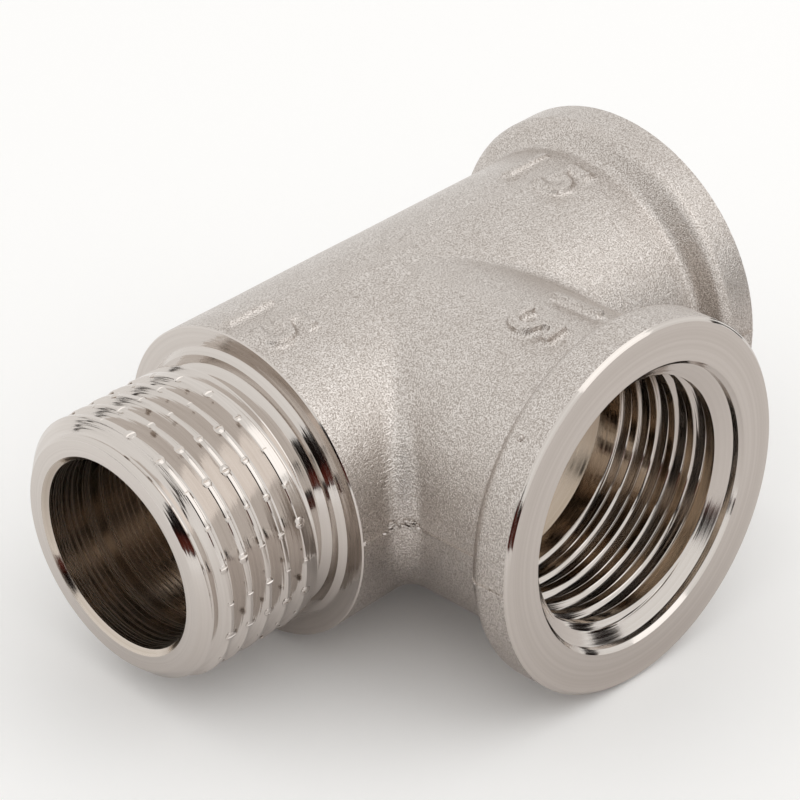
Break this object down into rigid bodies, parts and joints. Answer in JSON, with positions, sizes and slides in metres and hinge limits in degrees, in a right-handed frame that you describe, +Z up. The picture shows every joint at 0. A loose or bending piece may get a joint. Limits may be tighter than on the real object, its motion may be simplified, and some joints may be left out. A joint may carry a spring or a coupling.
{
  "type": "threaded tee",
  "caption": "Pipe tee with two socket ends and one male end, all of one thread size, for branching a line.",
  "frame": {"origin": "the point where the run axis and the branch axis cross", "axes": "X along the run, +X out of its socket and -X out of the male end; -Y out of the branch socket; +Z up"},
  "size_m": [0.0545, 0.0393, 0.0292],
  "materials": {
    "nickel_plated_brass": "forged and bead-blasted outside, turned bright at the ends, nickel plated all over"
  },
  "bodies": {
    "root": {"tee_body": "nickel_plated_brass"}
  },
  "joints": []
}
